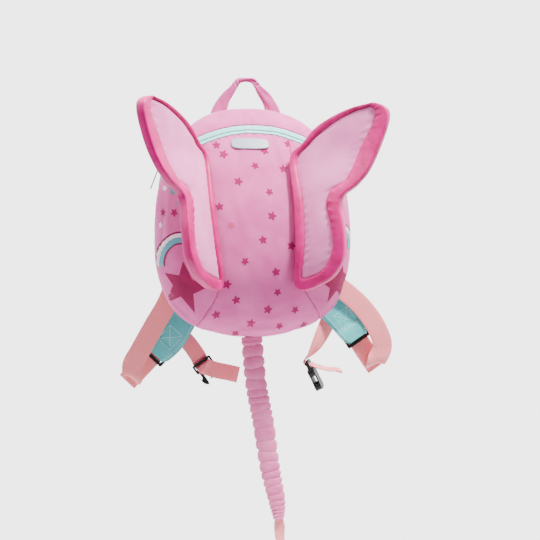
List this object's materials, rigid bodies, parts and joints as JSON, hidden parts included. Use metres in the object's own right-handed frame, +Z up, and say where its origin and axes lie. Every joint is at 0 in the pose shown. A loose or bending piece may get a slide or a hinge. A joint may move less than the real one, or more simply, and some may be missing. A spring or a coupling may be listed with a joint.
{
  "type": "toddler harness backpack",
  "caption": "Small pink star-print backpack with padded butterfly wings, teal shoulder straps, a chest buckle and a gathered rein with a hand loop.",
  "frame": {"origin": "underside of the grab handle at its middle, where a hook carries the bag", "axes": "+Z up, +Y towards the wearer's back (the straps' side), -Y towards the front with the wings"},
  "size_m": [0.3418, 0.2078, 0.678],
  "materials": {
    "body_cloth": "woven polyester",
    "satin": "satin",
    "pale_cloth": "woven polyester",
    "teal_cloth": "woven polyester",
    "zip": "zip tape and nylon coil",
    "webbing": "woven webbing",
    "black_plastic": "moulded",
    "grey_plate": "smooth",
    "steel": "plated"
  },
  "bodies": {
    "bag": {"back_panel": "body_cloth", "crown_panel": "body_cloth", "front_panel": "body_cloth", "side_panel_left": "body_cloth", "side_panel_right": "body_cloth", "zip_tape_upper": "zip", "zip_tape_lower": "zip", "zip_coil": "zip", "zip_slider": "steel", "name_plate": "grey_plate", "grab_handle": "body_cloth", "wing_pad_left": "satin", "wing_inset_left": "pale_cloth", "wing_pad_right": "satin", "wing_inset_right": "pale_cloth", "shoulder_pad_left": "teal_cloth", "ladder_lock_left": "black_plastic", "shoulder_webbing_left": "webbing", "shoulder_pad_right": "teal_cloth", "ladder_lock_right": "black_plastic", "shoulder_webbing_right": "webbing", "chest_webbing_left": "webbing", "chest_webbing_right": "webbing", "buckle_male": "black_plastic", "buckle_female": "black_plastic", "rein_sleeve": "body_cloth", "rein_webbing": "webbing"},
    "pull": {"zip_pull": "steel"}
  },
  "joints": [
    {"name": "zip_pull_swing", "type": "hinge", "parent": "bag", "child": "pull", "pos_m": [-0.11231, -0.05336, -0.11016], "axis": [0, 1, 0], "range_deg": [0, 150]}
  ]
}
